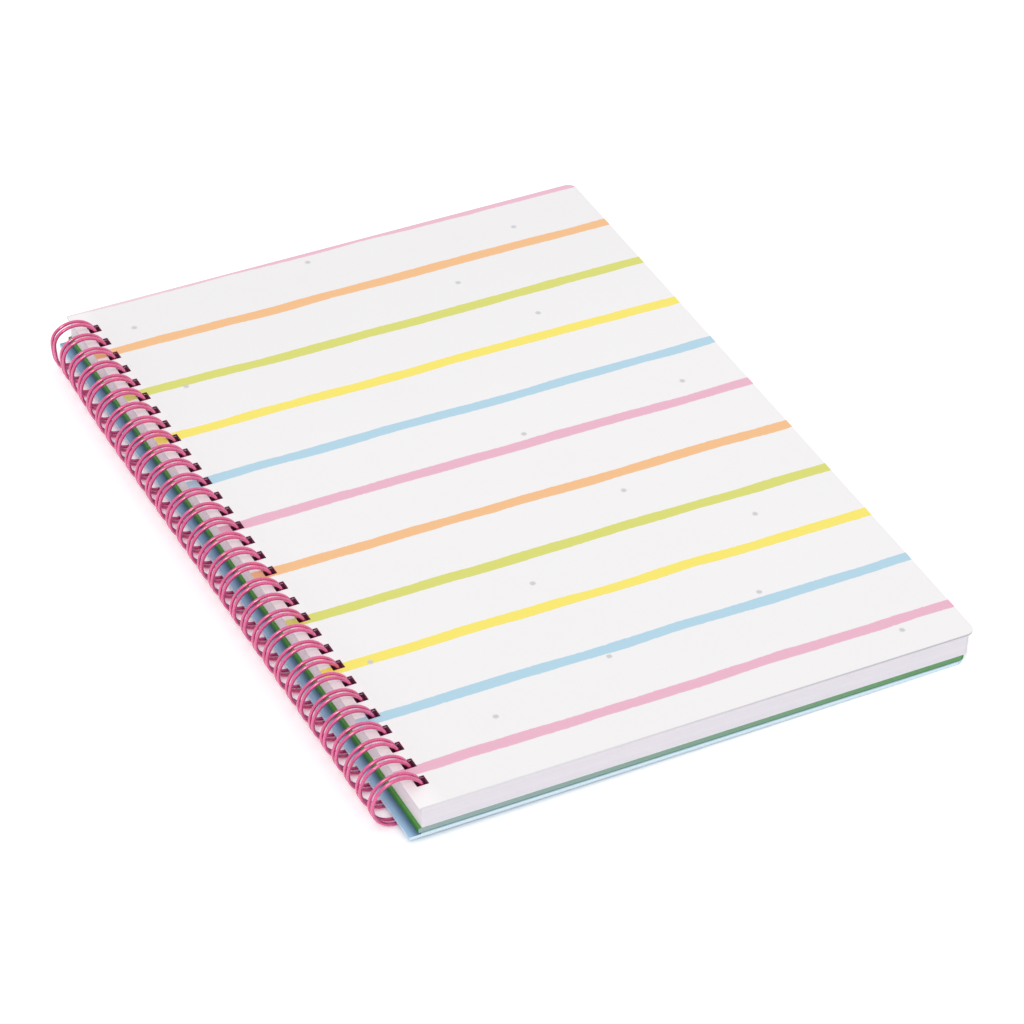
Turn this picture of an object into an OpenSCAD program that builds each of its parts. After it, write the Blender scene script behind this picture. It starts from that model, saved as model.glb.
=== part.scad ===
// Wire-bound notebook, lying closed on a table.
// The spine runs along Y, the fore edge is on the +X side and the covers lie flat.
// A twin loop wire holds the sheets: every finger of the wire is bent round through
// its own punched hole, and its closed tip meets the wire's root under the back cover.

/* [Covers] */
// Width of the covers, from the spine edge to the fore edge
cover_w = 148; // [100:1:220]
// Height of the covers, along the spine
cover_h = 210; // [120:1:300]
// Thickness of the laminated front cover
front_t = 0.6; // [0.3:0.1:1.2]
// Thickness of the back cover
back_t = 0.9; // [0.5:0.1:1.2]
// Radius of the covers' rounded corners at the fore edge
cover_r = 2.5; // [1:0.5:10]

/* [Pages] */
// How much narrower the pages are than the covers
page_inset_w = 2.3; // [1:0.1:10]
// How much shorter the pages are than the covers
page_inset_h = 0.5; // [0:0.5:6]
// Radius of the pages' rounded corners at the fore edge
page_r = 1.5; // [1:0.5:10]
// Thickness of the block of white pages
pages_t = 5.8; // [3:0.1:6.5]
// Thickness of the last section, of green pages
green_t = 1.5; // [0.8:0.1:2]
// How far the green pages sit towards the fore edge in the play of their holes
green_shift = 0.25; // [0:0.05:0.25]

/* [Holes] */
// Side of the square punched holes
hole_side = 3.1; // [3:0.1:3.6]
// Card left between the holes and the spine edge of a cover
cover_margin = 2.8; // [2:0.1:5]
// Paper left between the holes and the spine edge of the pages
page_margin = 2.1; // [1.5:0.1:5]
// Distance from one hole to the next
pitch = 6.45; // [5.8:0.05:9]
// Least distance from the last hole's centre to the end of the spine
end_margin = 8; // [5:0.5:20]

/* [Wire] */
// Diameter of the coated wire
wire_d = 0.9; // [0.7:0.05:1]
// Outside diameter of the closed loops
ring_d = 14.1; // [13.5:0.1:18]
// Outside width of one loop's pair of wires
loop_w = 2.6; // [2.2:0.1:2.7]
// Bend radius of the wire's root, at the middle of the wire
root_r = 0.75; // [0.6:0.05:1]
// Angle on the ring of the bars that join the loops, 270 being the lowest point
bar_angle = 277.5; // [275:0.5:280]

/* [Clearances] */
// Gap between a cover and the pages that it lies on
sheet_gap = 0.1; // [0.05:0.05:0.3]
// Gap between the wire and a sheet's punched edge, at least
wire_gap = 0.12; // [0.1:0.01:0.2]
// Gap between the wire that lies on the table and the back cover above it
under_gap = 0.4; // [0.2:0.05:0.8]
// Gap between a loop's tip and the bar that it meets
tip_gap = 0.3; // [0.1:0.05:0.6]

/* [Hidden] */
ring_fn = 96;
wire_fn = 24;
corner_fn = 64;

// Size of the pages
page_w = cover_w - page_inset_w;
page_h = cover_h - page_inset_h;

// Centre line of the wire, and the circles that its inside and outside touch
ring_r = (ring_d - wire_d) / 2;
ring_in = ring_r - wire_d / 2;
ring_out = ring_r + wire_d / 2;
pair_s = loop_w - wire_d;
loops = floor((cover_h - 2 * end_margin) / pitch) + 1;

// Levels above the table; the ring rests on it and the stack lies on the ring
axis_z = ring_out;
back_z = wire_d + under_gap;
green_z = back_z + back_t + sheet_gap;
pages_z = green_z + green_t;
front_z = pages_z + pages_t + sheet_gap;

// Where the wire crosses the slice of a sheet, measured from the ring's axis
function chord(r, h) = sqrt(max(0, r * r - h * h));
function far_h(z, t) = max(abs(z - axis_z), abs(z + t - axis_z));
function near_h(z, t) = (z < axis_z && z + t > axis_z) ? 0 : min(abs(z - axis_z), abs(z + t - axis_z));
function wire_near(z, t) = chord(ring_in, far_h(z, t));
function wire_far(z, t) = chord(ring_out, near_h(z, t));
function hole_mid(z, t) = (wire_near(z, t) + wire_far(z, t)) / 2;
function hole_half(z, t) = max(hole_side / 2, (wire_far(z, t) - wire_near(z, t)) / 2 + wire_gap);

// Spine side and fore side of a sheet's holes, with the sheet moved in their play by shift
function hole(z, t, shift) = [for (s = [-1, 1]) hole_mid(z, t) + shift + s * hole_half(z, t)];
front_hole = hole(front_z, front_t, 0);
pages_hole = hole(pages_z, pages_t, 0);
green_hole = hole(green_z, green_t, green_shift);
back_hole = hole(back_z, back_t, 0);

// Angles on the ring of the wire's roots and of the ends of its tips
function ring_angle(l) = l / ring_r * 180 / PI;
root_angle = bar_angle - atan(root_r / ring_r);
tip_angle = bar_angle + ring_angle(wire_d + tip_gap + pair_s / 2);

// A ball, a hair thicker than the wire, closes the hair's gap between a loop and its root's bend
hair = 0.02;

// The box round the closed notebook is centred on the origin
fore_x = max(front_hole[0] - cover_margin + cover_w, back_hole[0] - cover_margin + cover_w,
             pages_hole[0] - page_margin + page_w, green_hole[0] - page_margin + page_w);
axis_x = -(fore_x - ring_out) / 2;

// A sheet's outline, with square corners at the spine and round ones at the fore edge
module outline(w, h, r) {
    translate([0, -h / 2])
        square([w - r, h]);
    translate([0, r - h / 2])
        square([w, h - 2 * r]);
    for (side = [-1, 1])
        translate([w - r, side * (h / 2 - r)])
            circle(r = r, $fn = corner_fn);
}

// One sheet or block of sheets at height z, punched with a hole for every loop
module sheet(w, h, r, margin, z, t, hole) {
    translate([axis_x, 0, z])
        linear_extrude(t)
            difference() {
                translate([hole[0] - margin, 0])
                    outline(w, h, r);
                for (i = [0:loops - 1])
                    translate([hole[0], (i - (loops - 1) / 2) * pitch - hole_side / 2])
                        square([hole[1] - hole[0], hole_side]);
            }
}

// Puts its children on the ring at an angle: x points outwards, y on round the ring
module on_ring(angle) {
    rotate([90, 0, 0])
        rotate([0, 0, angle])
            translate([ring_r, 0, 0])
                children();
}

// A bend of the wire in the plane that touches the ring, from start on by turn degrees
module bend(r, start, turn) {
    rotate([0, 90, 0])
        rotate([0, 0, start])
            rotate_extrude(angle = turn, $fn = ring_fn)
                translate([r, 0])
                    circle(d = wire_d, $fn = wire_fn);
}

// One of a loop's two wires, from its tip round over the top to its root
module half_loop() {
    rotate([90, 0, 0])
        rotate([0, 0, tip_angle - 360])
            rotate_extrude(angle = root_angle - tip_angle + 360 - ring_angle(hair), $fn = ring_fn)
                translate([ring_r, 0])
                    circle(d = wire_d, $fn = wire_fn);
}

// A loop: two wires side by side, joined by a hairpin at the tip
module loop() {
    for (side = [-1, 1])
        translate([0, side * pair_s / 2, 0])
            half_loop();
    on_ring(tip_angle)
        bend(pair_s / 2, 180, 180);
}

// The bar from one loop's root to the next, with the bend at each of its ends
module bridge() {
    bar_l = pitch - pair_s - 2 * root_r;
    on_ring(root_angle) {
        translate([0, root_r, -bar_l / 2])
            cylinder(d = wire_d, h = bar_l, $fn = wire_fn);
        translate([0, 0, bar_l / 2])
            bend(root_r, 90, 90);
        translate([0, 0, -bar_l / 2])
            bend(root_r, 0, 90);
        for (side = [-1, 1])
            translate([0, 0, side * (bar_l / 2 + root_r)])
                sphere(d = wire_d + hair, $fn = wire_fn);
    }
}

module front_cover() {
    color("whitesmoke")
        sheet(cover_w, cover_h, cover_r, cover_margin, front_z, front_t, front_hole);
}

module page_block() {
    color("lavender")
        sheet(page_w, page_h, page_r, page_margin, pages_z, pages_t, pages_hole);
}

module green_section() {
    color("forestgreen")
        sheet(page_w, page_h, page_r, page_margin, green_z, green_t, green_hole);
}

module back_cover() {
    color("lightblue")
        sheet(cover_w, cover_h, cover_r, cover_margin, back_z, back_t, back_hole);
}

module binding_wire() {
    color("palevioletred")
        translate([axis_x, 0, axis_z]) {
            for (i = [0:loops - 1])
                translate([0, (i - (loops - 1) / 2) * pitch, 0])
                    loop();
            for (i = [1:loops - 1])
                translate([0, (i - loops / 2) * pitch, 0])
                    bridge();
        }
}

front_cover();
page_block();
green_section();
back_cover();
binding_wire();
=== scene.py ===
"""Looks of a wire-bound notebook that lies closed on a pale table.

The sizes in the classes are in millimetres. Meshes, lamps and the camera are in metres,
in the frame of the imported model: +X to the fore edge, +Y along the spine, +Z up.
"""

import logging
import math
from dataclasses import dataclass
from enum import Enum
from functools import reduce
from typing import Any, Optional, Sequence, Union

import bpy
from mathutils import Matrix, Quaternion, Vector


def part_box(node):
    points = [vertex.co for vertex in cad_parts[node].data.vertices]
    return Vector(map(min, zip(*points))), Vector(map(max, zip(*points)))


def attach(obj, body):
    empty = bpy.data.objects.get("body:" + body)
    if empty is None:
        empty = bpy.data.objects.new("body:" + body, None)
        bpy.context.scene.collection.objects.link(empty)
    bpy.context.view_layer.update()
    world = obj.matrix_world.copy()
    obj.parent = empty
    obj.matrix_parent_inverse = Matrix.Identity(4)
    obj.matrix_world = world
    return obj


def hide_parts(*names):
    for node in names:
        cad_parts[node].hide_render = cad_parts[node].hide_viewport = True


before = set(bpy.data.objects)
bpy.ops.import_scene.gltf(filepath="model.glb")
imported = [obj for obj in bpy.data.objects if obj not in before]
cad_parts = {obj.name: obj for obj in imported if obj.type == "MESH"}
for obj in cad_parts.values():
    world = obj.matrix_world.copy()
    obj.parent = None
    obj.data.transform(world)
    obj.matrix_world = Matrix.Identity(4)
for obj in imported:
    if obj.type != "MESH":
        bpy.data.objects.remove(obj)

logging.basicConfig(level=logging.INFO, format="%(name)s: %(message)s")
log = logging.getLogger("notebook")

MM = 0.001

# Where a sheet's punched holes are, in millimetres from its spine edge and from its ends
HOLES_FROM = 2.6
HOLES_TO = 6.4
HOLES_END = 3.0

# How close to a face a shaded point has to be to count as on it, in millimetres
SKIN = 0.03

Colour = tuple[float, float, float, float]


def ink(red: int, green: int, blue: int) -> Colour:
    """Turn a colour as it is seen on a screen into the one that shaders use.

    Args:
        red, green, blue: The colour's parts, from 0 to 255.

    Returns:
        The linear colour, with an alpha of 1.
    """
    parts = [c / 255 for c in (red, green, blue)]
    linear = [p / 12.92 if p <= 0.04045 else ((p + 0.055) / 1.055) ** 2.4 for p in parts]
    return (linear[0], linear[1], linear[2], 1.0)


class Term:
    """A node's output, on which an expression adds Math nodes."""

    def __init__(self, graph: "Graph", socket: bpy.types.NodeSocket) -> None:
        """Keep the socket and the graph that its Math nodes go into."""
        self.graph = graph
        self.socket = socket

    def _math(self, operation: str, *values: "Value") -> "Term":
        """Return the result of one Math node on these values."""
        inputs = dict(enumerate(values))
        return self.graph.node("ShaderNodeMath", {"operation": operation}, inputs)["Value"]

    def __add__(self, other: "Value") -> "Term":
        """Return self + other."""
        return self._math("ADD", self, other)

    def __radd__(self, other: "Value") -> "Term":
        """Return other + self."""
        return self._math("ADD", other, self)

    def __sub__(self, other: "Value") -> "Term":
        """Return self - other."""
        return self._math("SUBTRACT", self, other)

    def __rsub__(self, other: "Value") -> "Term":
        """Return other - self."""
        return self._math("SUBTRACT", other, self)

    def __mul__(self, other: "Value") -> "Term":
        """Return self * other."""
        return self._math("MULTIPLY", self, other)

    def __rmul__(self, other: "Value") -> "Term":
        """Return other * self."""
        return self._math("MULTIPLY", other, self)

    def __truediv__(self, other: "Value") -> "Term":
        """Return self / other."""
        return self._math("DIVIDE", self, other)

    def __mod__(self, other: "Value") -> "Term":
        """Return self modulo other, which is never negative."""
        return self._math("FLOORED_MODULO", self, other)

    def __pow__(self, other: "Value") -> "Term":
        """Return self to the power of other."""
        return self._math("POWER", self, other)

    def __abs__(self) -> "Term":
        """Return self without its sign."""
        return self._math("ABSOLUTE", self)

    def __gt__(self, other: "Value") -> "Term":
        """Return 1 where self is more than other, and else 0."""
        return self._math("GREATER_THAN", self, other)

    def __lt__(self, other: "Value") -> "Term":
        """Return 1 where self is less than other, and else 0."""
        return self._math("LESS_THAN", self, other)

    def floor(self) -> "Term":
        """Return the whole number at or below self."""
        return self._math("FLOOR", self)

    def least(self, other: "Value") -> "Term":
        """Return the lesser of self and other."""
        return self._math("MINIMUM", self, other)

    def sine(self) -> "Term":
        """Return the sine of self, an angle in radians."""
        return self._math("SINE", self)

    def cosine(self) -> "Term":
        """Return the cosine of self, an angle in radians."""
        return self._math("COSINE", self)

    def ramp(self, low: "Value", high: "Value") -> "Term":
        """Return a smooth 0 to 1 as self goes from low to high, which may be the lesser."""
        settings = {"interpolation_type": "SMOOTHSTEP"}
        inputs = {"Value": self, "From Min": low, "From Max": high}
        return self.graph.node("ShaderNodeMapRange", settings, inputs)["Result"]


Value = Union[Term, float, int]


class Graph:
    """The nodes of one material, world or geometry tree."""

    def __init__(self, tree: bpy.types.NodeTree) -> None:
        """Keep the tree."""
        self.tree = tree

    def node(
        self,
        kind: str,
        settings: Optional[dict[str, Any]] = None,
        inputs: Optional[dict[Any, Any]] = None,
    ) -> dict[str, Term]:
        """Add a node.

        Args:
            kind: The node's type.
            settings: Its properties, set first; "stops" are a ramp's (place, colour) pairs.
            inputs: Values or terms, by the socket's name or number.

        Returns:
            The node's outputs in use, by name.
        """
        made = self.tree.nodes.new(kind)
        for key, value in (settings or {}).items():
            if key == "stops":
                self._set_stops(made.color_ramp, value)
            else:
                setattr(made, key, value)
        for key, value in (inputs or {}).items():
            usable = [s for s in made.inputs if s.enabled]
            by_name = (s for s in usable if s.name == key)
            socket = usable[key] if isinstance(key, int) else next(by_name)
            if isinstance(value, Term):
                self.tree.links.new(value.socket, socket)
            else:
                socket.default_value = value
        return {s.name: Term(self, s) for s in made.outputs if s.enabled}

    @staticmethod
    def _set_stops(ramp: bpy.types.ColorRamp, stops: Sequence[tuple[float, Colour]]) -> None:
        """Give a constant ramp these stops, in rising order."""
        ramp.interpolation = "CONSTANT"
        while len(ramp.elements) < len(stops):
            ramp.elements.new(1.0)
        for element, (place, colour) in zip(ramp.elements, stops):
            element.position = place
            element.color = colour

    def place(self) -> tuple[Term, Term, Term]:
        """Return x, y and z of the shaded point on its piece, in millimetres."""
        point = self.node("ShaderNodeTexCoord")["Object"]
        inputs = {"Vector": point, "Scale": (1 / MM,) * 3}
        scaled = self.node("ShaderNodeMapping", {}, inputs)["Vector"]
        parts = self.node("ShaderNodeSeparateXYZ", {}, {"Vector": scaled})
        return parts["X"], parts["Y"], parts["Z"]

    def vector(self, x: Value, y: Value, z: Value) -> Term:
        """Return a vector of three numbers."""
        return self.node("ShaderNodeCombineXYZ", {}, {"X": x, "Y": y, "Z": z})["Vector"]

    def noise(
        self, x: Value, y: Value, z: Value, detail: float = 2.0, rough: float = 0.5
    ) -> Term:
        """Return soft noise, about 0.5 on average.

        Args:
            x, y, z: Where to read the noise, whose grains are about 1 across. On a flat
                pattern z only picks one of many.
            detail: How many finer layers are added.
            rough: How strong the finer layers are.

        Returns:
            The noise, from 0 to 1.
        """
        inputs = {
            "Vector": self.vector(x, y, z),
            "Scale": 1.0,
            "Detail": detail,
            "Roughness": rough,
        }
        return self.node("ShaderNodeTexNoise", {}, inputs)["Fac"]

    def chance(self, x: Value) -> Term:
        """Return a random number from 0 to 1 for each value of x."""
        inputs = {"Vector": self.vector(x, 0.5, 0.5)}
        return self.node("ShaderNodeTexWhiteNoise", {"noise_dimensions": "3D"}, inputs)["Value"]

    def mix(self, share: Value, first: Any, second: Any) -> Term:
        """Return the first colour, turned into the second by a share from 0 to 1."""
        inputs = {"Factor": share, "A": first, "B": second}
        return self.node("ShaderNodeMix", {"data_type": "RGBA"}, inputs)["Result"]

    def shade(self, colour: Any, tone: Value) -> Term:
        """Return a colour multiplied by a tone."""
        inputs = {0: colour if isinstance(colour, Term) else colour[:3], "Scale": tone}
        return self.node("ShaderNodeVectorMath", {"operation": "SCALE"}, inputs)["Vector"]

    def bump(self, height: Term, depth: float) -> Term:
        """Return the normal of a surface whose height is 0 to 1 times a depth in millimetres."""
        inputs = {"Strength": 1.0, "Distance": depth * MM, "Height": height}
        return self.node("ShaderNodeBump", {}, inputs)["Normal"]


@dataclass(frozen=True)
class Finish:
    """A finish of the notebook, from which a material is made.

    The finishes of the sheets are told where the sheet's sides are: spine and fore along X,
    near and far along Y, and its faces or bottom and top along Z, all in millimetres.
    """

    name: str

    def surface(self, graph: Graph) -> Term:
        """Add the finish's nodes and return the shader."""
        raise NotImplementedError

    def material(self) -> bpy.types.Material:
        """Make the material of this finish."""
        made = bpy.data.materials.new(self.name)
        made.use_nodes = True
        made.node_tree.nodes.clear()
        graph = Graph(made.node_tree)
        graph.node("ShaderNodeOutputMaterial", {}, {"Surface": self.surface(graph)})
        log.info("finish %s: %d nodes", self.name, len(made.node_tree.nodes))
        return made


class Ink(Enum):
    """The five stripe inks, in the order in which they repeat from the near edge."""

    PINK = ink(241, 184, 206)
    BLUE = ink(181, 218, 236)
    YELLOW = ink(255, 237, 106)
    GREEN = ink(223, 224, 114)
    ORANGE = ink(251, 195, 139)


@dataclass(frozen=True)
class PrintedCard(Finish):
    """Off-white laminated card with brushed stripes and small dots on its outer face.

    The stripes run across the card. The last one is cut off by the far edge, so it has a
    slope and a fading of its own.

    Attributes:
        film: How far the print reaches down the card's edges.
        first_stripe, stripe_pitch, stripe_width: The stripes' places and their width.
        stripe_slope, stripe_shift: Their fall per millimetre across, from a start above level.
        sway, sway_length: How far a stripe's middle wanders, and over what length.
        swell, swell_length: How far its width does.
        fray, blur: How rough and how soft its edges are.
        last_row, last_slope, last_shift: The last stripe's number, and its own fall and start.
        dots: The dots' places from the near corner at the spine.
        pale_from, pale_to: Where the card is painted paler towards the spine, a painted light
            against the rings' shade.
        dim_from, dim_to, dim: Where and how much shade is painted on it towards the far edge.
        painted_edge_shade_from, painted_edge_shade_to: Where painted shade darkens its edge
        towards the fore edge.
        relief: The height of the film's unevenness.
    """

    spine: float = 0.0
    near: float = 0.0
    far: float = 0.0
    inside: float = 0.0
    outside: float = 0.0
    film: float = 0.06
    first_stripe: float = 12.0
    stripe_pitch: float = 19.8
    stripe_width: float = 3.2
    stripe_slope: float = 0.0045
    stripe_shift: float = 0.33
    stripe_tone: float = 0.905
    sway: float = 1.7
    sway_length: float = 30.0
    swell: float = 0.7
    swell_length: float = 14.0
    fray: float = 0.5
    blur: float = 0.14
    last_row: float = 10.0
    last_slope: float = 0.005
    last_shift: float = 0.75
    dot_width: float = 1.4
    dot_fray: float = 0.4
    dot_blur: float = 0.3
    dot_strength: float = 0.9
    card_tone: float = 0.965
    pale_from: float = 8.0
    pale_to: float = 3.0
    dim_from: float = 110.0
    dim_to: float = 210.0
    dim: float = 0.03
    painted_edge_shade_from: float = 20.0
    painted_edge_shade_to: float = 150.0
    relief: float = 0.02
    dots: tuple[tuple[float, float], ...] = (
        (14, 198), (67, 206), (124, 198), (99, 181), (112, 160), (16, 169), (132, 118), (85, 115),
        (97, 84), (122, 62), (60, 61), (12, 51), (108, 35), (64, 29), (30, 21), (132, 8),
    )
    card: Colour = ink(243, 241, 242)
    # Painted light: the card is painted paler beside the spine, against the shade of the rings.
    painted_light_by_spine: Colour = ink(251, 248, 250)
    core: Colour = ink(230, 226, 230)
    # Painted shade: the edge is darkened towards the fore edge, where the cover overhangs the
    # leaves.
    painted_edge_shade: Colour = ink(196, 191, 198)
    inner: Colour = ink(240, 238, 240)
    # Painted shade on the holes' walls, tinted plum by a painted reflection of the wire.
    well: Colour = ink(140, 60, 100)
    dot_ink: Colour = ink(200, 200, 204)

    def surface(self, graph: Graph) -> Term:
        """Add the finish's nodes and return the shader."""
        x, y, z = graph.place()
        across, up = x - self.spine, y - self.near
        paper = graph.noise(across * 0.9, up * 0.9, z, 4.0, 0.6)
        cloud = graph.noise(across * 0.03, up * 0.03, 4.0)
        # Painted light: paler towards the spine, to make up for the rings' shade.
        blank = graph.mix(across.ramp(self.pale_from, self.pale_to), self.card, self.painted_light_by_spine)
        tone = self.card_tone + cloud * 0.02 + paper * 0.01
        # Painted shade: darker towards the far edge.
        blank = graph.shade(blank, tone - up.ramp(self.dim_from, self.dim_to) * self.dim)
        inked, stripe = self._stripes(graph, across, up)
        printed = graph.mix(stripe, blank, inked)
        printed = graph.mix(self._dots(graph, across, up), printed, self.dot_ink)
        outer = z > self.outside - self.film
        # Painted shade on the cut edge, darker towards the fore edge.
        painted_edge_shade = across.ramp(self.painted_edge_shade_from, self.painted_edge_shade_to)
        rim = graph.mix(painted_edge_shade, self.core, self.painted_edge_shade)
        # Painted shade and a painted reflection of the wire on the holes' walls.
        in_hole = hole_wall(x, y, self.spine, self.near, self.far)
        cut = graph.mix(in_hole, rim, self.well)
        bare = graph.mix(z < self.inside + SKIN, cut, self.inner)
        colour = graph.mix(outer, graph.shade(bare, 0.95 + paper * 0.1), printed)
        film = graph.noise(across * 2.2, up * 2.2, 9.0, 3.0)
        height = film * 0.4 + cloud * 0.6
        inputs = {
            "Base Color": colour,
            "Roughness": 0.42 + film * 0.12 + (1 - outer) * 0.3,
            "Specular IOR Level": 0.3,
            "Coat Weight": outer * 0.12,
            "Coat Roughness": 0.25,
            "Normal": graph.bump(height, self.relief),
        }
        return graph.node("ShaderNodeBsdfPrincipled", {}, inputs)["BSDF"]

    def _stripes(self, graph: Graph, across: Term, up: Term) -> tuple[Term, Term]:
        """Paint the stripes.

        Args:
            graph: The material's nodes.
            across: Millimetres from the spine edge.
            up: Millimetres from the near edge.

        Returns:
            The colour of the nearest stripe, and how far it covers the card.
        """
        level = up + across * self.stripe_slope - self.stripe_shift
        row = ((level - self.first_stripe) / self.stripe_pitch + 0.5).floor()
        sway = graph.noise(across / self.sway_length, row * 7.3, 1.5, 1.0) - 0.5
        swell = graph.noise(across / self.swell_length, row * 3.1, 6.5, 2.0) - 0.5
        fray = graph.noise(across * 0.9, up * 0.9, 2.5, 3.0, 0.65) - 0.5
        last = row > self.last_row - 0.5
        bent = last * (across * self.last_slope - self.last_shift) - sway * self.sway
        away = abs(level - self.first_stripe - row * self.stripe_pitch + bent)
        reach = away + fray * self.fray - swell * self.swell
        half = self.stripe_width / 2
        cover = reach.ramp(half + self.blur, half - self.blur)
        streak = graph.noise(across * 0.12, up * 1.5, row, 3.0, 0.6)
        shares = [(i / len(Ink), one.value) for i, one in enumerate(Ink)]
        share = (row % len(Ink) + 0.5) / len(Ink)
        picked = graph.node("ShaderNodeValToRGB", {"stops": shares}, {"Fac": share})
        faded = last * (0.1 + across.ramp(60.0, 0.0) * 0.4)
        opaque = (0.86 + streak * 0.28).least(1.0) * (1 - faded)
        return graph.shade(picked["Color"], self.stripe_tone + streak * 0.05), cover * opaque

    def _dots(self, graph: Graph, across: Term, up: Term) -> Term:
        """Return how far the dots cover the card, at this place across and up it."""
        place = graph.vector(across, up, 0.0)
        fray = graph.noise(across * 1.3, up * 1.3, 0.0) - 0.5
        away = []
        for dot in self.dots:
            inputs = {0: place, 1: (*dot, 0.0)}
            distance = graph.node("ShaderNodeVectorMath", {"operation": "DISTANCE"}, inputs)
            away.append(distance["Value"])
        reach = reduce(Term.least, away) + fray * self.dot_fray
        half = self.dot_width / 2
        return reach.ramp(half + self.dot_blur, half - self.dot_blur) * self.dot_strength


@dataclass(frozen=True)
class CutPaper(Finish):
    """The cut edges of a stack of leaves, with plain faces above and below.

    Attributes:
        leaf: The thickness of one leaf as it shows in the edges.
        leafing: How strongly the leaves are told apart, by their own tones and by painted shade
            in the grooves between them.
        sag, painted_gap_shadow_height: How much painted shadow darkens the lowest leaves, from
            the gap beneath them, and how high that reaches.
        relief: How far leaves stand out from the edges.
        edge, dusty: The edges' colours, in patches.
        by_wire, by_wire_far: The colours at the spine, from the near to the far end; on the white
            leaves they are paler than the edges, a painted light against the rings' shade.
        pale_spine, pale_fore: The colours at the near end, from the spine to the fore edge.
        well: Painted shade on the holes' walls.
    """

    bottom: float = 0.0
    top: float = 0.0
    spine: float = 0.0
    fore: float = 0.0
    near: float = 0.0
    far: float = 0.0
    leaf: float = 0.1
    leafing: float = 1.0
    sag: float = 0.0
    painted_gap_shadow_height: float = 0.3
    edge_tone: float = 0.99
    face_tone: float = 0.985
    relief: float = 0.08
    face: Colour = ink(242, 239, 242)
    edge: Colour = ink(240, 234, 242)
    dusty: Colour = ink(233, 226, 236)
    by_wire: Colour = ink(253, 247, 252)
    by_wire_far: Colour = ink(250, 244, 250)
    pale_spine: Colour = ink(242, 236, 244)
    pale_fore: Colour = ink(240, 235, 243)
    well: Colour = ink(150, 60, 104)

    def surface(self, graph: Graph) -> Term:
        """Add the finish's nodes and return the shader."""
        x, y, z = graph.place()
        level = (z - self.bottom) / self.leaf
        row = level.floor()
        groove = abs(level % 1.0 - 0.5) * 2
        tone = graph.chance(row)
        drift = graph.noise(x / 22, y / 22, row * 0.37, 3.0)
        grain = graph.noise(x * 1.5, y * 1.5, z * 6, 3.0, 0.6)
        edges = graph.mix(drift.ramp(0.3, 0.75), self.edge, self.dusty)
        pale = graph.mix(x.ramp(self.spine, self.fore), self.pale_spine, self.pale_fore)
        wired = graph.mix(y.ramp(self.near, self.far), self.by_wire, self.by_wire_far)
        # At the spine: on the white leaves a painted light, paler against the rings' shade.
        edges = graph.mix((x < self.spine + SKIN) * 0.8, edges, wired)
        edges = graph.mix(y < self.near + SKIN, edges, pale)
        # Painted shade on the holes' walls.
        in_hole = hole_wall(x, y, self.spine, self.near, self.far)
        edges = graph.mix(in_hole, edges, self.well)
        # Painted shade in the grooves between the leaves, added to each leaf's own tone.
        lines = tone * 0.04 - groove ** 4 * 0.09 - 0.02
        lit = self.edge_tone + lines * self.leafing + grain * 0.02
        # Painted shadow on the lowest leaves, from the gap beneath them.
        lit = lit - (z - self.bottom).ramp(self.painted_gap_shadow_height, 0.05) * self.sag
        faces = graph.shade(self.face, self.face_tone + grain * 0.02)
        inside = (z > self.bottom + SKIN) * (z < self.top - SKIN)
        proud = graph.noise(x / 9, y / 9, row * 5.7, 2.0)
        height = inside * (proud * 0.5 + tone * 0.3 - groove ** 4 * 0.2)
        inputs = {
            "Base Color": graph.mix(inside, faces, graph.shade(edges, lit)),
            "Roughness": 0.82 + grain * 0.12,
            "Normal": graph.bump(height, self.relief),
        }
        return graph.node("ShaderNodeBsdfPrincipled", {}, inputs)["BSDF"]


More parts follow.
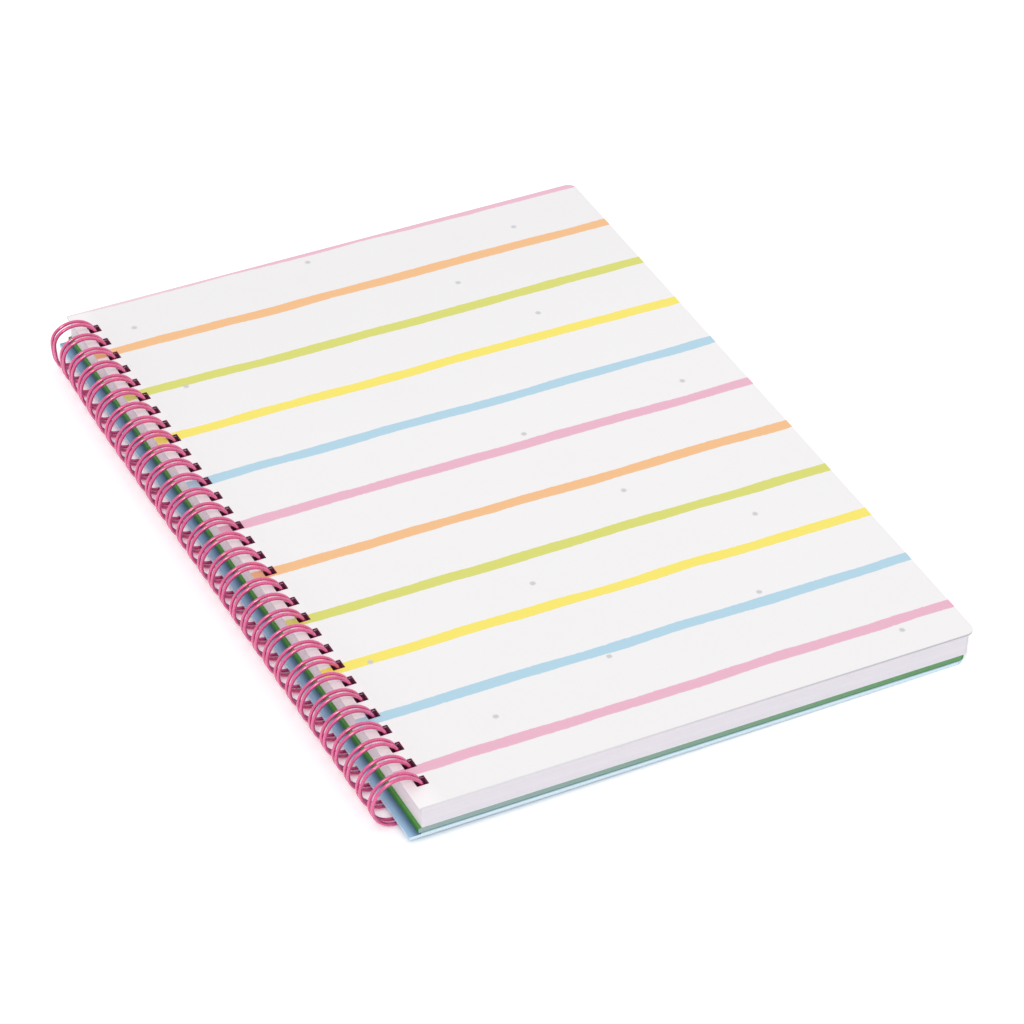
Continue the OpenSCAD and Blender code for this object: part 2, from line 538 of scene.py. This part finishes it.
@dataclass(frozen=True)
class BlueBoard(Finish):
    """Card printed light blue and rubbed along its edges, with painted shade on its inner face
    beside the leaves.

    Attributes:
        leaves: Where the leaves' spine edge is, along X.
        rub_width: How far in from its edges the card is rubbed.
        strip_past: How far past the leaves' edge the painted shade reaches.
        shadow_width: The width beside the leaves over which painted shadow darkens it.
        dim_length, dim: Over what length and how much painted shade darkens the strip to the far
            end.
        relief: The height of the card's fibres.
    """

    spine: float = 0.0
    fore: float = 0.0
    near: float = 0.0
    far: float = 0.0
    inside: float = 0.0
    leaves: float = 0.0
    rub_width: float = 0.7
    strip_past: float = 0.6
    shadow_width: float = 2.2
    dim_length: float = 200.0
    dim: float = 0.3
    relief: float = 0.03
    paper: Colour = ink(186, 220, 243)
    rubbed: Colour = ink(216, 236, 247)
    cut: Colour = ink(218, 238, 249)
    # Painted shade: the inner face beside the leaves, going over to the darker colour below
    # towards the far end and at the leaves' edge.
    by_leaves: Colour = ink(158, 198, 230)
    painted_shade: Colour = ink(76, 112, 152)

    def surface(self, graph: Graph) -> Term:
        """Add the finish's nodes and return the shader."""
        x, y, z = graph.place()
        fibre = graph.noise(x * 2.5, y * 0.9, z * 2.5, 4.0, 0.65)
        cloud = graph.noise(x / 35, y / 35, z / 35)
        inward = (x - self.spine).least(self.fore - x)
        inward = inward.least(y - self.near).least(self.far - y)
        patches = graph.noise(x / 3, y / 3, z / 3, 3.0).ramp(0.35, 0.7)
        worn = inward.ramp(self.rub_width, 0.0) * patches
        colour = graph.mix(worn * 0.6, self.paper, self.rubbed)
        colour = graph.mix(y < self.near + SKIN, colour, self.cut)
        # Painted shade on the inner face beside the leaves: darker towards the far end, darkest
        # at the leaves' edge.
        strip = (x < self.leaves + self.strip_past) * (z > self.inside - SKIN)
        dimmed = (y - self.near).ramp(0.0, self.dim_length) * self.dim
        colour = graph.mix(strip, colour, graph.mix(dimmed, self.by_leaves, self.painted_shade))
        shadow = (x - self.leaves).ramp(-self.shadow_width, 0.0) * strip
        colour = graph.mix(shadow * 0.85, colour, self.painted_shade)
        inputs = {
            "Base Color": graph.shade(colour, 0.96 + fibre * 0.05 + cloud * 0.03),
            "Roughness": 0.55 + fibre * 0.15,
            "Normal": graph.bump(fibre, self.relief),
        }
        return graph.node("ShaderNodeBsdfPrincipled", {}, inputs)["BSDF"]


@dataclass(frozen=True)
class CoatedWire(Finish):
    """Steel wire in a glossy coat of metallic pink."""

    relief: float = 0.01
    coat: Colour = ink(226, 62, 138)
    deep: Colour = ink(210, 48, 122)

    def surface(self, graph: Graph) -> Term:
        """Add the finish's nodes and return the shader."""
        x, y, z = graph.place()
        flow = graph.noise(x * 0.35, y * 0.35, z * 0.35)
        dimple = graph.noise(x * 2.5, y * 2.5, z * 2.5, 3.0)
        colour = graph.mix(flow.ramp(0.3, 0.7), self.coat, self.deep)
        inputs = {
            "Base Color": graph.shade(colour, 0.96 + dimple * 0.08),
            "Metallic": 0.5,
            "Roughness": 0.24 + dimple * 0.08,
            "Coat Weight": 1.0,
            "Coat IOR": 1.9,
            "Coat Roughness": 0.08,
            "Normal": graph.bump(dimple, self.relief),
        }
        return graph.node("ShaderNodeBsdfPrincipled", {}, inputs)["BSDF"]


@dataclass(frozen=True)
class TableTop(Finish):
    """A matt table top that looks white where no shadow falls.

    Attributes:
        seen: Its colour in the picture and in reflections.
        lit: Its colour for the light that it throws back on the notebook.
    """

    seen: Colour = (1.2, 1.2, 1.2, 1.0)
    lit: Colour = ink(240, 240, 241)

    def surface(self, graph: Graph) -> Term:
        """Add the finish's nodes and return the shader."""
        colour = graph.mix(background_ray(graph), self.lit, self.seen)
        return graph.node("ShaderNodeBsdfDiffuse", {}, {"Color": colour})["BSDF"]


def background_ray(graph: Graph) -> Term:
    """Return 1 for rays that show the background: the camera's, mirrored and let through."""
    ray = graph.node("ShaderNodeLightPath")
    return (ray["Is Camera Ray"] + ray["Is Glossy Ray"] + ray["Is Transmission Ray"]).least(1.0)


# The mask for the painted shade on the holes' walls.
def hole_wall(x: Term, y: Term, spine: float, near: float, far: float) -> Term:
    """Return 1 on the walls of a sheet's punched holes, and 0 round the sheet's outside.

    Args:
        x, y: The shaded point's place, in millimetres.
        spine, near, far: Where the sheet's spine edge and its two ends are.

    Returns:
        1 in the strip that the holes are punched in, between the sheet's ends.
    """
    across = (x > spine + HOLES_FROM) * (x < spine + HOLES_TO)
    return across * (y > near + HOLES_END) * (y < far - HOLES_END)


class Covers:
    """The printed front cover and the blue back cover."""

    def dress(self) -> None:
        """Give both covers their finishes."""
        low, high = millimetre_box("front_cover")
        card = PrintedCard(
            "printed_card", spine=low.x, near=low.y, far=high.y, inside=low.z, outside=high.z
        )
        dress_node("front_cover", card)
        low, high = millimetre_box("back_cover")
        leaves, _ = millimetre_box("green_section")
        board = BlueBoard(
            "blue_board",
            spine=low.x,
            fore=high.x,
            near=low.y,
            far=high.y,
            inside=high.z,
            leaves=leaves.x,
        )
        dress_node("back_cover", board)


class Leaves:
    """The white pages and the green ones behind them."""

    def dress(self) -> None:
        """Give both stacks their finishes."""
        dress_node("page_block", CutPaper("white_leaves", **self._sides("page_block")))
        green = CutPaper(
            "green_leaves",
            **self._sides("green_section"),
            leaf=0.16,
            leafing=2.5,
            # Painted shadow on the lowest green leaves, from the gap above the back cover.
            sag=0.35,
            face=ink(84, 150, 66),
            edge=ink(58, 142, 56),
            dusty=ink(60, 132, 74),
            by_wire=ink(60, 136, 60),
            by_wire_far=ink(66, 122, 96),
            pale_spine=ink(158, 184, 182),
            pale_fore=ink(108, 162, 108),
            # Painted shade on the holes' walls.
            well=ink(60, 70, 50),
        )
        dress_node("green_section", green)

    @staticmethod
    def _sides(name: str) -> dict[str, float]:
        """Return where a stack's six sides are, by the names that its finish has for them."""
        low, high = millimetre_box(name)
        return {
            "bottom": low.z, "top": high.z,
            "spine": low.x, "fore": high.x,
            "near": low.y, "far": high.y,
        }


def millimetre_box(name: str) -> tuple[Vector, Vector]:
    """Return the low and the high corner of a CAD node's box, in millimetres."""
    low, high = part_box(name)
    return low / MM, high / MM


def dress_node(name: str, finish: Finish) -> None:
    """Give a CAD node a finish in all its material slots."""
    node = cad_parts[name]
    material = finish.material()
    if not node.material_slots:
        node.data.materials.append(material)
    for slot in node.material_slots:
        slot.material = material
    log.info("%s dressed in %s", name, finish.name)


@dataclass
class TwinLoopWire:
    """The binding: one wire, bent flat into a comb of twin fingers and rolled into rings.

    Its last rings at the far end are pressed in on their free side.

    Attributes:
        ring_width, finger_width: Outside widths of a ring and of its pair of wires.
        wire: The thickness of the wire.
        pitch: The distance from one ring to the next.
        root_bend: The radius of the bends between a finger and the bars beside it.
        bar_angle: Where on the rings the bars are, in degrees from +X to +Z.
        tip_gap: What a finger's tip leaves free before the bar.
        press: How far the last ring is pressed in, as a share of its radius.
        press_angle: Where on the ring that is most, in degrees as well.
        pressed_length: The length of the binding that is pressed in.
        step, sides: How finely the wire is divided along and around.
    """

    ring_width: float = 14.1
    wire: float = 0.9
    finger_width: float = 2.6
    pitch: float = 6.45
    root_bend: float = 0.75
    bar_angle: float = 277.5
    tip_gap: float = 0.3
    press: float = 0.18
    press_angle: float = 188.0
    pressed_length: float = 38.0
    step: float = 0.4
    sides: int = 14

    def build(self) -> bpy.types.Object:
        """Make the wire in place of its plain solid.

        Returns:
            The wire's mesh object.
        """
        low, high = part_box("binding_wire")
        ring = (self.ring_width - self.wire) / 2
        fingers = round(((high.y - low.y) / MM - self.finger_width) / self.pitch) + 1
        wants = {
            "Fingers": fingers,
            "Pitch": self.pitch * MM,
            "Pair": (self.finger_width - self.wire) * MM,
            "Reach": (2 * math.pi * ring - self.wire - self.tip_gap) * MM,
            "Root bend": self.root_bend * MM,
            "Ring": ring * MM,
            "Wire": self.wire / 2 * MM,
            "Bar angle": math.radians(self.bar_angle),
            "Step": self.step * MM,
            "Sides": self.sides,
            "Axis X": low.x + self.ring_width / 2 * MM,
            "Axis Z": low.z + self.ring_width / 2 * MM,
            "Press": self.press,
            "Press angle": math.radians(self.press_angle),
            "Pressed from": high.y - self.pressed_length * MM,
            "Pressed to": high.y,
        }
        made = grow("twin_loop_wire", self._tree(wants), wants)
        log.info("twin_loop_wire: %d fingers, %d faces", fingers, len(made.data.polygons))
        return made

    def _tree(self, wants: dict[str, Union[float, int]]) -> bpy.types.NodeTree:
        """Make the geometry nodes: a comb drawn flat, rolled round the ring's axis.

        Args:
            wants: The values that the tree gets, whose names and types its inputs have.

        Returns:
            The tree.
        """
        tree = bpy.data.node_groups.new("comb_and_roll", "GeometryNodeTree")
        for name, value in wants.items():
            kind = "NodeSocketInt" if isinstance(value, int) else "NodeSocketFloat"
            tree.interface.new_socket(name, in_out="INPUT", socket_type=kind)
        tree.interface.new_socket("Geometry", in_out="OUTPUT", socket_type="NodeSocketGeometry")
        graph = Graph(tree)
        size = graph.node("NodeGroupInput")
        rolled = self._rolled(graph, size, self._comb(graph, size))
        inputs = {"Resolution": size["Sides"], "Radius": size["Wire"]}
        section = graph.node("GeometryNodeCurvePrimitiveCircle", {"mode": "RADIUS"}, inputs)
        inputs = {"Curve": rolled, "Profile Curve": section["Curve"], "Fill Caps": True}
        tube = graph.node("GeometryNodeCurveToMesh", {}, inputs)
        inputs = {0: tube["Mesh"], "Shade Smooth": True}
        smooth = graph.node("GeometryNodeSetShadeSmooth", {"domain": "FACE"}, inputs)
        finish = CoatedWire("coated_wire").material()
        inputs = {"Geometry": smooth["Geometry"], "Material": finish}
        dressed = graph.node("GeometryNodeSetMaterial", {}, inputs)
        graph.node("NodeGroupOutput", {}, {"Geometry": dressed["Geometry"]})
        return tree

    @staticmethod
    def _comb(graph: Graph, size: dict[str, Term]) -> Term:
        """Draw the flat comb, four corners to a finger, and round its corners.

        Args:
            graph: The tree's nodes.
            size: The tree's inputs.

        Returns:
            The curve, with x along each finger from the bars and y along the spine.
        """
        corners = 4
        count = size["Fingers"] * corners
        inputs = {"Count": count, "Offset": (0.0, 0.0, MM)}
        line = graph.node("GeometryNodeMeshLine", {}, inputs)["Mesh"]
        index = graph.node("GeometryNodeInputIndex")["Index"]
        corner = index % corners
        finger = (index / corners).floor()
        tip = abs(corner - 1.5) < 1.0
        cut = (index < 0.5) + (index > count - 1.5)
        reach = tip * size["Reach"] + cut * size["Root bend"]
        side = (corner > 1.5) - 0.5
        middle = (finger - (size["Fingers"] - 1) / 2) * size["Pitch"]
        place = graph.vector(reach, middle + side * size["Pair"], 0.0)
        inputs = {"Geometry": line, "Position": place}
        placed = graph.node("GeometryNodeSetPosition", {}, inputs)["Geometry"]
        curve = graph.node("GeometryNodeMeshToCurve", {}, {"Mesh": placed})["Curve"]
        bend = tip * size["Pair"] / 2 + (1 - tip) * size["Root bend"]
        inputs = {"Curve": curve, "Count": 8, "Radius": bend, "Limit Radius": True}
        rounded = graph.node("GeometryNodeFilletCurve", {"mode": "POLY"}, inputs)["Curve"]
        inputs = {"Curve": rounded, "Length": size["Step"]}
        return graph.node("GeometryNodeResampleCurve", {"mode": "LENGTH"}, inputs)["Curve"]

    @staticmethod
    def _rolled(graph: Graph, size: dict[str, Term], comb: Term) -> Term:
        """Roll the flat comb into rings, and press the last ones in.

        Args:
            graph: The tree's nodes.
            size: The tree's inputs.
            comb: The flat curve.

        Returns:
            The curve of the closed binding.
        """
        position = graph.node("GeometryNodeInputPosition")["Position"]
        flat = graph.node("ShaderNodeSeparateXYZ", {}, {"Vector": position})
        angle = size["Bar angle"] - flat["X"] / size["Ring"]
        out = angle.cosine()
        at_end = flat["Y"].ramp(size["Pressed from"], size["Pressed to"])
        at_side = (out < 0.0) * (angle - size["Press angle"]).cosine() ** 4
        width = (1 - size["Press"] * at_end * at_side) * size["Ring"]
        place = graph.vector(
            size["Axis X"] + out * width, flat["Y"], size["Axis Z"] + angle.sine() * size["Ring"]
        )
        inputs = {"Geometry": comb, "Position": place}
        return graph.node("GeometryNodeSetPosition", {}, inputs)["Geometry"]


def grow(name: str, tree: bpy.types.NodeTree, wants: dict[str, Any]) -> bpy.types.Object:
    """Turn a geometry tree into a plain mesh object.

    Args:
        name: The new object's name.
        tree: The tree, with an output named Geometry.
        wants: A value for each of its inputs, by name.

    Returns:
        The object, at the origin and without a modifier.
    """
    seed = bpy.data.objects.new(name + "_seed", bpy.data.meshes.new(name + "_seed"))
    bpy.context.scene.collection.objects.link(seed)
    modifier = seed.modifiers.new(name, "NODES")
    modifier.node_group = tree
    for item in tree.interface.items_tree:
        if item.in_out == "INPUT":
            modifier[item.identifier] = wants[item.name]
    bpy.context.view_layer.update()
    evaluated = seed.evaluated_get(bpy.context.evaluated_depsgraph_get())
    mesh = bpy.data.meshes.new_from_object(evaluated)
    mesh.name = name
    seed.modifiers.remove(modifier)
    bpy.data.objects.remove(seed)
    made = bpy.data.objects.new(name, mesh)
    bpy.context.scene.collection.objects.link(made)
    return made


@dataclass
class Studio:
    """The table, the soft light and the camera, with its distances in millimetres.

    Attributes:
        aim: What the camera aims at, from the front cover's near corner at the spine.
        distance, azimuth, elevation: Where the camera is from there, angles in degrees.
        roll: How far it is rolled about its line of sight, in degrees.
        focal_length, sensor_width: The camera's lens.
        table_width: The side of the square table.
        sky, sun: How strong the even light and the lamp are.
        sun_spread, sun_from: The lamp's width in degrees, and the side that it is on.
    """

    aim: tuple[float, float, float] = (67.97, 87.91, 0.0)
    distance: float = 1081.0
    azimuth: float = -27.90
    elevation: float = 38.23
    roll: float = 1.83
    focal_length: float = 154.5
    sensor_width: float = 36.0
    table_width: float = 6000.0
    sky: float = 0.88
    sun: float = 0.62
    sun_spread: float = 16.0
    sun_from: tuple[float, float, float] = (-0.45, -0.65, 1.0)

    def build(self) -> None:
        """Set the table, the lights and the camera."""
        bpy.context.scene.view_settings.view_transform = "Standard"
        self._table()
        self._light()
        self._camera()

    def _table(self) -> None:
        """Lay the table so that the rings and the back board's fore edge touch it."""
        ring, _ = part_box("binding_wire")
        board, board_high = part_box("back_cover")
        ring_x = ring.x + TwinLoopWire.ring_width / 2 * MM
        slope = (board.z - ring.z) / (board_high.x - ring_x)
        half = self.table_width / 2 * MM
        square = ((-half, -half), (half, -half), (half, half), (-half, half))
        corners = [(x, y, ring.z + (x - ring_x) * slope) for x, y in square]
        mesh = bpy.data.meshes.new("table")
        mesh.from_pydata(corners, [], [(0, 1, 2, 3)])
        mesh.materials.append(TableTop("table_top").material())
        table = bpy.data.objects.new("table", mesh)
        bpy.context.scene.collection.objects.link(table)

    def _light(self) -> None:
        """Light the scene with an even sky and a soft sun."""
        world = bpy.data.worlds.new("studio")
        bpy.context.scene.world = world
        world.use_nodes = True
        world.node_tree.nodes.clear()
        graph = Graph(world.node_tree)
        strength = self.sky + background_ray(graph) * (1 - self.sky)
        inputs = {"Color": (1.0, 1.0, 1.0, 1.0), "Strength": strength}
        shader = graph.node("ShaderNodeBackground", {}, inputs)["Background"]
        graph.node("ShaderNodeOutputWorld", {}, {"Surface": shader})
        light = bpy.data.lights.new("soft_sun", "SUN")
        light.energy = self.sun
        light.angle = math.radians(self.sun_spread)
        sun = bpy.data.objects.new("soft_sun", light)
        sun.rotation_euler = Vector(self.sun_from).to_track_quat("Z", "Y").to_euler()
        bpy.context.scene.collection.objects.link(sun)

    def _camera(self) -> None:
        """Put the camera where the photograph was taken from, for a square picture."""
        turn, lift = math.radians(self.azimuth), math.radians(self.elevation)
        level = Vector((math.sin(turn), -math.cos(turn), 0.0)) * math.cos(lift)
        back = level + Vector((0.0, 0.0, math.sin(lift)))
        lens = bpy.data.cameras.new("camera")
        lens.sensor_width = self.sensor_width
        lens.lens = self.focal_length
        lens.clip_start, lens.clip_end = 0.05, 50.0
        camera = bpy.data.objects.new("camera", lens)
        low, high = millimetre_box("front_cover")
        corner = Vector((low.x, low.y, high.z))
        camera.location = (corner + Vector(self.aim) + back * self.distance) * MM
        roll = Quaternion((0, 0, 1), math.radians(self.roll))
        camera.rotation_mode = "QUATERNION"
        camera.rotation_quaternion = back.to_track_quat("Z", "Y") @ roll
        bpy.context.scene.collection.objects.link(camera)
        bpy.context.scene.camera = camera


def main() -> None:
    """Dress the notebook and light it."""
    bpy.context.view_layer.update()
    Studio().build()
    Covers().dress()
    Leaves().dress()
    wire = TwinLoopWire().build()
    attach(wire, "back")
    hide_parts("binding_wire")


if __name__ == "__main__":
    main()
